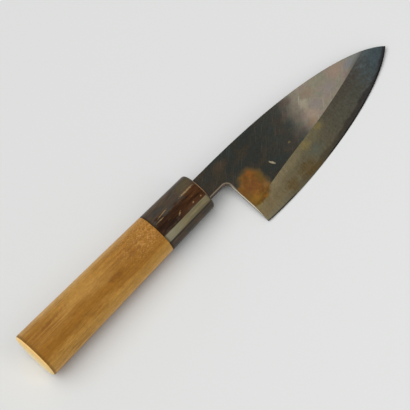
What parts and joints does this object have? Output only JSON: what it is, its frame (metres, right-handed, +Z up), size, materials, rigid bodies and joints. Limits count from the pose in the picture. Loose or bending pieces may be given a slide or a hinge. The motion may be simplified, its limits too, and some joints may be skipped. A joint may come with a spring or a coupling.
{
  "type": "deba kitchen knife",
  "caption": "Small single-bevel deba knife: short deep laminated blade with a ridge line and square heel, dark horn ferrule and plain tapered wood handle, lying bevel up.",
  "frame": {"origin": "on the table, under the centre of the knife's box as it lies bevel side up", "axes": "+X along the handle towards the tip, +Y towards the spine, +Z up from the table"},
  "size_m": [0.2302, 0.0472, 0.022],
  "materials": {
    "patina_iron": "dark patina with a worn grey zone and a rust stain",
    "edge_steel": "ground hard steel, dull grey",
    "horn": "polished dark horn with brown streaks",
    "wood": "bare fine-grained wood, darkened by use",
    "resin": "hardened resin"
  },
  "bodies": {
    "root": {"blade_iron": "patina_iron", "edge_steel": "edge_steel", "ferrule": "horn", "handle": "wood", "tang_seal": "resin"}
  },
  "joints": []
}
